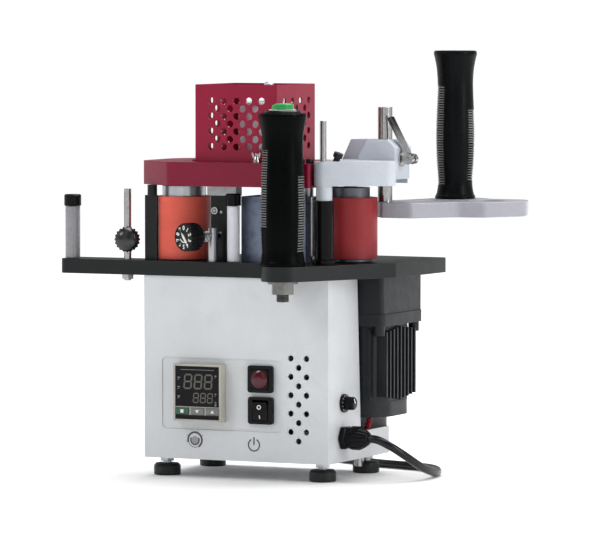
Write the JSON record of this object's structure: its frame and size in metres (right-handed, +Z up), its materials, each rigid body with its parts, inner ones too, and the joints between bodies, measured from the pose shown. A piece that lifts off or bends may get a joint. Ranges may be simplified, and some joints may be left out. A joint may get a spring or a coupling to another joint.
{
  "type": "edge banding machine",
  "caption": "Portable edge banding machine: tape is fed, coated by a heated glue roller and pressed onto a board edge by motor-driven rollers under a red drive cover.",
  "frame": {"origin": "centre of the machine's plan box, on the floor under its feet", "axes": "+Z up, +X to the operator's right, +Y away from the control panel"},
  "size_m": [0.405, 0.453, 0.392],
  "materials": {
    "powder_grey": "fine textured powder coat",
    "black_coat": "satin black coated",
    "motor_black": "semi-gloss black paint",
    "gearbox_black": "semi-gloss black paint",
    "crimson": "gloss crimson paint",
    "white_cast": "white enamel on a casting",
    "chrome": "polished",
    "steel": "turned and brushed",
    "dark_steel": "blackened",
    "raw_aluminium": "machined",
    "silicone_orange": "satin silicone",
    "silicone_red": "satin silicone",
    "black_rubber": "moulded",
    "black_plastic": "fine grain",
    "gloss_black": "gloss",
    "grey_plastic": "fine grain",
    "green_key": "gloss",
    "grey_key": "fine grain",
    "lens_red": "faceted, translucent",
    "green_button": "gloss, translucent",
    "circuit_board": "solder mask",
    "cord_black": "smooth sheath",
    "white_roller": "smooth"
  },
  "bodies": {
    "machine": {"housing_shell": "powder_grey", "base_tray": "powder_grey", "back_cover": "powder_grey", "rubber_feet": "black_rubber", "foot_studs": "steel", "controller_case": "gloss_black", "panel_bezels": "gloss_black", "indicator_lens": "lens_red", "speed_dial": "black_plastic", "cable_gland": "black_plastic", "power_cord": "cord_black", "cord_coil": "cord_black", "power_plug": "cord_black", "control_board": "circuit_board", "table_plate": "black_coat", "gearbox": "gearbox_black", "motor_body": "motor_black", "drive_belt": "black_rubber", "shaft_bearings": "steel", "glue_block": "raw_aluminium", "heater_rods": "steel", "glue_pot": "raw_aluminium", "drive_cover": "crimson", "perforated_guard": "crimson", "machine_screws": "dark_steel", "infeed_block": "black_coat", "roller_posts": "dark_steel", "stop_rod": "chrome", "tension_post": "steel", "tension_spring": "steel", "cutter_plate": "dark_steel", "cutter_bar": "steel", "support_arm": "white_cast", "support_pillars": "dark_steel", "tie_rod": "chrome", "clamp_bolt": "chrome", "front_grip": "black_rubber", "handle_nut": "chrome"},
    "feed_roller": {"feed_core": "steel", "feed_tyre": "silicone_orange"},
    "press_roller": {"press_core": "dark_steel", "press_tyre": "silicone_red"},
    "glue_wheel": {"glue_roller": "steel"},
    "drive_shaft": {"drive_pulley": "steel"},
    "tape_wheel": {"tape_roller": "grey_plastic"},
    "pinch_wheel": {"pinch_roller": "white_roller"},
    "stop_slider": {"stop_collar": "dark_steel"},
    "stop_screw": {"stop_knob": "black_plastic"},
    "tension_dial": {"tension_knob": "black_plastic"},
    "speed_control": {"speed_knob": "black_plastic"},
    "power_switch": {"power_rocker": "gloss_black"},
    "set_key": {"set_button": "green_key"},
    "down_key": {"down_button": "grey_key"},
    "up_key": {"up_button": "grey_key"},
    "trigger_button": {"green_button": "green_button"},
    "lid": {"pot_lid": "raw_aluminium"},
    "height_carriage": {"height_rod": "chrome", "platform": "white_cast", "rear_grip": "black_rubber"},
    "clamp": {"clamp_lever": "chrome"}
  },
  "joints": [
    {"name": "drive_spin", "type": "hinge", "parent": "machine", "child": "drive_shaft", "pos_m": [0.0325, 0.0175, 0.22], "axis": [0, 0, 1], "continuous": true},
    {"name": "feed_spin", "type": "hinge", "parent": "machine", "child": "feed_roller", "pos_m": [-0.0903, -0.0435, 0.22], "axis": [0, 0, 1], "continuous": true},
    {"name": "press_spin", "type": "hinge", "parent": "machine", "child": "press_roller", "pos_m": [0.0685, -0.0205, 0.22], "axis": [0, 0, 1], "continuous": true},
    {"name": "glue_spin", "type": "hinge", "parent": "machine", "child": "glue_wheel", "pos_m": [0.0275, -0.0265, 0.22], "axis": [0, 0, 1], "continuous": true},
    {"name": "tape_roller_spin", "type": "hinge", "parent": "machine", "child": "tape_wheel", "pos_m": [-0.1937, -0.0675, 0.22], "axis": [0, 0, 1], "continuous": true},
    {"name": "pinch_roller_spin", "type": "hinge", "parent": "machine", "child": "pinch_wheel", "pos_m": [-0.0277, -0.0675, 0.22], "axis": [0, 0, 1], "continuous": true},
    {"name": "stop_height", "type": "slide", "parent": "machine", "child": "stop_slider", "axis": [0, 0, 1], "range_m": [-0.002, 0.038]},
    {"name": "stop_screw_turn", "type": "hinge", "parent": "stop_slider", "child": "stop_screw", "pos_m": [-0.13476, -0.0713, 0.2185], "axis": [-0.4226, 0.9063, 0], "range_deg": [0, 270]},
    {"name": "tension_turn", "type": "hinge", "parent": "machine", "child": "tension_dial", "pos_m": [-0.0488, -0.0675, 0.223], "axis": [-0.3907, -0.9205, 0], "range_deg": [0, 330]},
    {"name": "speed_turn", "type": "hinge", "parent": "machine", "child": "speed_control", "pos_m": [0.0715, -0.0425, 0.0715], "axis": [1, 0, 0], "range_deg": [0, 270]},
    {"name": "power_rock", "type": "hinge", "parent": "machine", "child": "power_switch", "pos_m": [0.0044, -0.0755, 0.0648], "axis": [1, 0, 0], "range_deg": [-18, 0]},
    {"name": "set_press", "type": "slide", "parent": "machine", "child": "set_key", "axis": [0, 1, 0], "range_m": [0, 0.0008], "stiffness_N_per_m": 300, "springref_m": -0.0003},
    {"name": "down_press", "type": "slide", "parent": "machine", "child": "down_key", "axis": [0, 1, 0], "range_m": [0, 0.0008], "stiffness_N_per_m": 300, "springref_m": -0.0003},
    {"name": "up_press", "type": "slide", "parent": "machine", "child": "up_key", "axis": [0, 1, 0], "range_m": [0, 0.0008], "stiffness_N_per_m": 300, "springref_m": -0.0003},
    {"name": "trigger_press", "type": "slide", "parent": "machine", "child": "trigger_button", "axis": [0, 0, -1], "range_m": [0, 0.003], "stiffness_N_per_m": 400, "springref_m": -0.001},
    {"name": "lid_lift", "type": "slide", "parent": "machine", "child": "lid", "axis": [0, 0, 1], "range_m": [0, 0.06]},
    {"name": "platform_height", "type": "slide", "parent": "machine", "child": "height_carriage", "axis": [0, 0, 1], "range_m": [-0.024, 0.012]},
    {"name": "clamp_turn", "type": "hinge", "parent": "machine", "child": "clamp", "pos_m": [0.1195, 0.0005, 0.294], "axis": [0, 1, 0], "range_deg": [0, 100]}
  ],
  "couplings": [
    {"joint": "feed_spin", "follows": "drive_spin", "ratio": 1},
    {"joint": "press_spin", "follows": "drive_spin", "ratio": 1},
    {"joint": "glue_spin", "follows": "drive_spin", "ratio": 1}
  ]
}
